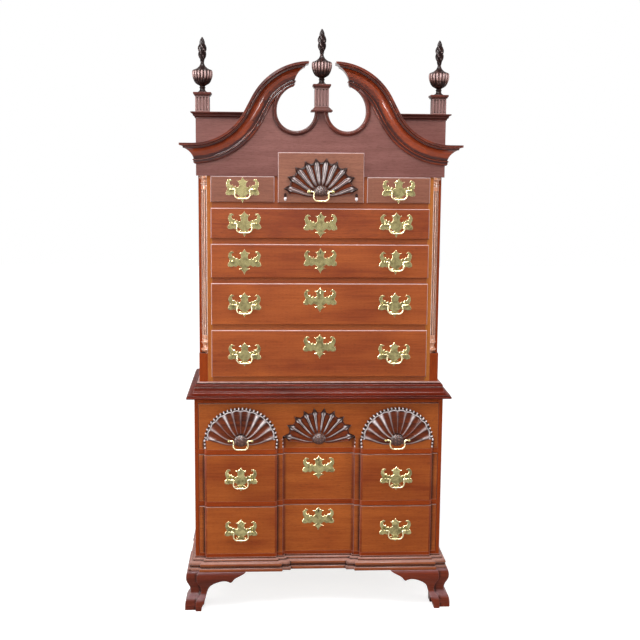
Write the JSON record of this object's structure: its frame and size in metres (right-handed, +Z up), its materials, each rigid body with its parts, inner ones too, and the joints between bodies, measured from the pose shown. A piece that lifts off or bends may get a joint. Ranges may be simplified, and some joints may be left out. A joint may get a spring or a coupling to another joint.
{
  "type": "highboy",
  "caption": "Tall two-section chest of drawers with a block-front lower case on ogee bracket feet, scrolled open pediment, flame finials, carved shells and brass bail pulls.",
  "frame": {"origin": "on the floor, under the middle of the whole chest's bounding box", "axes": "+X to the right seen from the front, +Y to the back, +Z up"},
  "size_m": [1.009, 0.567, 2.134],
  "materials": {
    "mahogany_case": "polished mahogany, satin, fine grain along each board",
    "mahogany_fronts": "polished mahogany veneer-quality fronts, satin, grain across the front",
    "mahogany_mouldings": "dark polished mahogany, glossy highlights along the profiles",
    "carved_mahogany": "carved and darkened mahogany, polished on the high places",
    "secondary_wood": "plain dry softwood, unpolished",
    "brass": "cast brass, antique, brighter on the edges"
  },
  "bodies": {
    "case": {"lower_carcase": "mahogany_case", "lower_drawer_frame": "mahogany_case", "base_moulding": "mahogany_mouldings", "bracket_feet": "mahogany_mouldings", "waist_moulding": "mahogany_mouldings", "upper_carcase": "mahogany_case", "upper_drawer_frame": "mahogany_case", "quarter_columns": "mahogany_case", "pediment_board": "mahogany_case", "scroll_cornice": "mahogany_mouldings", "pediment_trim": "mahogany_mouldings", "finials": "carved_mahogany"},
    "drawer_upper_1": {"front_upper_1": "mahogany_fronts", "box_upper_1": "secondary_wood", "brasses_upper_1": "brass"},
    "bail_upper_1_left": {"bail_upper_1_left": "brass"},
    "bail_upper_1_right": {"bail_upper_1_right": "brass"},
    "drawer_upper_2": {"front_upper_2": "mahogany_fronts", "box_upper_2": "secondary_wood", "brasses_upper_2": "brass"},
    "bail_upper_2_left": {"bail_upper_2_left": "brass"},
    "bail_upper_2_right": {"bail_upper_2_right": "brass"},
    "drawer_upper_3": {"front_upper_3": "mahogany_fronts", "box_upper_3": "secondary_wood", "brasses_upper_3": "brass"},
    "bail_upper_3_right": {"bail_upper_3_right": "brass"},
    "drawer_upper_4": {"front_upper_4": "mahogany_fronts", "box_upper_4": "secondary_wood", "brasses_upper_4": "brass"},
    "bail_upper_4_left": {"bail_upper_4_left": "brass"},
    "bail_upper_4_right": {"bail_upper_4_right": "brass"},
    "drawer_small_left": {"front_small_left": "mahogany_fronts", "box_small_left": "secondary_wood", "brasses_small_left": "brass"},
    "bail_small_left": {"bail_small_left": "brass"},
    "drawer_small_right": {"front_small_right": "mahogany_fronts", "box_small_right": "secondary_wood", "brasses_small_right": "brass"},
    "bail_small_right": {"bail_small_right": "brass"},
    "drawer_shell": {"front_shell": "mahogany_fronts", "box_shell": "secondary_wood", "brasses_shell": "brass", "upper_shell": "carved_mahogany"},
    "bail_shell": {"bail_shell": "brass"},
    "drawer_lower_1": {"front_lower_1": "mahogany_fronts", "box_lower_1": "secondary_wood", "brasses_lower_1": "brass"},
    "bail_lower_1_left": {"bail_lower_1_left": "brass"},
    "bail_lower_1_right": {"bail_lower_1_right": "brass"},
    "drawer_lower_2": {"front_lower_2": "mahogany_fronts", "box_lower_2": "secondary_wood", "brasses_lower_2": "brass"},
    "bail_lower_2_left": {"bail_lower_2_left": "brass"},
    "bail_lower_2_right": {"bail_lower_2_right": "brass"},
    "drawer_lower_shell": {"front_lower_shell": "mahogany_fronts", "box_lower_shell": "secondary_wood", "brasses_lower_shell": "brass", "lower_shells": "carved_mahogany"},
    "bail_lower_shell_left": {"bail_lower_shell_left": "brass"},
    "bail_lower_shell_right": {"bail_lower_shell_right": "brass"}
  },
  "joints": [
    {"name": "upper_1_drawer_slide", "type": "slide", "parent": "case", "child": "drawer_upper_1", "axis": [0, -1, 0], "range_m": [0, 0.36]},
    {"name": "bail_upper_1_left_hinge", "type": "hinge", "parent": "drawer_upper_1", "child": "bail_upper_1_left", "pos_m": [-0.27604, -0.2389, 0.967], "axis": [-1, 0, 0], "range_deg": [-23, 155]},
    {"name": "bail_upper_1_right_hinge", "type": "hinge", "parent": "drawer_upper_1", "child": "bail_upper_1_right", "pos_m": [0.27604, -0.2389, 0.967], "axis": [-1, 0, 0], "range_deg": [-23, 155]},
    {"name": "upper_2_drawer_slide", "type": "slide", "parent": "case", "child": "drawer_upper_2", "axis": [0, -1, 0], "range_m": [0, 0.36]},
    {"name": "bail_upper_2_left_hinge", "type": "hinge", "parent": "drawer_upper_2", "child": "bail_upper_2_left", "pos_m": [-0.27604, -0.2389, 1.151], "axis": [-1, 0, 0], "range_deg": [-23, 155]},
    {"name": "bail_upper_2_right_hinge", "type": "hinge", "parent": "drawer_upper_2", "child": "bail_upper_2_right", "pos_m": [0.27604, -0.2389, 1.151], "axis": [-1, 0, 0], "range_deg": [-23, 155]},
    {"name": "upper_3_drawer_slide", "type": "slide", "parent": "case", "child": "drawer_upper_3", "axis": [0, -1, 0], "range_m": [0, 0.36]},
    {"name": "bail_upper_3_right_hinge", "type": "hinge", "parent": "drawer_upper_3", "child": "bail_upper_3_right", "pos_m": [0.27604, -0.2389, 1.309], "axis": [-1, 0, 0], "range_deg": [-23, 155]},
    {"name": "upper_4_drawer_slide", "type": "slide", "parent": "case", "child": "drawer_upper_4", "axis": [0, -1, 0], "range_m": [0, 0.36]},
    {"name": "bail_upper_4_left_hinge", "type": "hinge", "parent": "drawer_upper_4", "child": "bail_upper_4_left", "pos_m": [-0.27604, -0.2389, 1.4455], "axis": [-1, 0, 0], "range_deg": [-23, 155]},
    {"name": "bail_upper_4_right_hinge", "type": "hinge", "parent": "drawer_upper_4", "child": "bail_upper_4_right", "pos_m": [0.27604, -0.2389, 1.4455], "axis": [-1, 0, 0], "range_deg": [-23, 155]},
    {"name": "small_left_drawer_slide", "type": "slide", "parent": "case", "child": "drawer_small_left", "axis": [0, -1, 0], "range_m": [0, 0.36]},
    {"name": "bail_small_left_hinge", "type": "hinge", "parent": "drawer_small_left", "child": "bail_small_left", "pos_m": [-0.28252, -0.2389, 1.5675], "axis": [-1, 0, 0], "range_deg": [-23, 155]},
    {"name": "small_right_drawer_slide", "type": "slide", "parent": "case", "child": "drawer_small_right", "axis": [0, -1, 0], "range_m": [0, 0.36]},
    {"name": "bail_small_right_hinge", "type": "hinge", "parent": "drawer_small_right", "child": "bail_small_right", "pos_m": [0.28252, -0.2389, 1.5675], "axis": [-1, 0, 0], "range_deg": [-23, 155]},
    {"name": "shell_drawer_slide", "type": "slide", "parent": "case", "child": "drawer_shell", "axis": [0, -1, 0], "range_m": [0, 0.36]},
    {"name": "bail_shell_hinge", "type": "hinge", "parent": "drawer_shell", "child": "bail_shell", "pos_m": [0, -0.2529, 1.561], "axis": [-1, 0, 0], "range_deg": [-43, 155]},
    {"name": "lower_1_drawer_slide", "type": "slide", "parent": "case", "child": "drawer_lower_1", "axis": [0, -1, 0], "range_m": [0, 0.37]},
    {"name": "bail_lower_1_left_hinge", "type": "hinge", "parent": "drawer_lower_1", "child": "bail_lower_1_left", "pos_m": [-0.29025, -0.2621, 0.29965], "axis": [-1, 0, 0], "range_deg": [-23, 155]},
    {"name": "bail_lower_1_right_hinge", "type": "hinge", "parent": "drawer_lower_1", "child": "bail_lower_1_right", "pos_m": [0.29025, -0.2621, 0.29965], "axis": [-1, 0, 0], "range_deg": [-23, 155]},
    {"name": "lower_2_drawer_slide", "type": "slide", "parent": "case", "child": "drawer_lower_2", "axis": [0, -1, 0], "range_m": [0, 0.37]},
    {"name": "bail_lower_2_left_hinge", "type": "hinge", "parent": "drawer_lower_2", "child": "bail_lower_2_left", "pos_m": [-0.29025, -0.2621, 0.50015], "axis": [-1, 0, 0], "range_deg": [-23, 155]},
    {"name": "bail_lower_2_right_hinge", "type": "hinge", "parent": "drawer_lower_2", "child": "bail_lower_2_right", "pos_m": [0.29025, -0.2621, 0.50015], "axis": [-1, 0, 0], "range_deg": [-23, 155]},
    {"name": "lower_shell_drawer_slide", "type": "slide", "parent": "case", "child": "drawer_lower_shell", "axis": [0, -1, 0], "range_m": [0, 0.37]},
    {"name": "bail_lower_shell_left_hinge", "type": "hinge", "parent": "drawer_lower_shell", "child": "bail_lower_shell_left", "pos_m": [-0.29025, -0.2621, 0.648], "axis": [-1, 0, 0], "range_deg": [-26, 155]},
    {"name": "bail_lower_shell_right_hinge", "type": "hinge", "parent": "drawer_lower_shell", "child": "bail_lower_shell_right", "pos_m": [0.29025, -0.2621, 0.648], "axis": [-1, 0, 0], "range_deg": [-26, 155]}
  ]
}
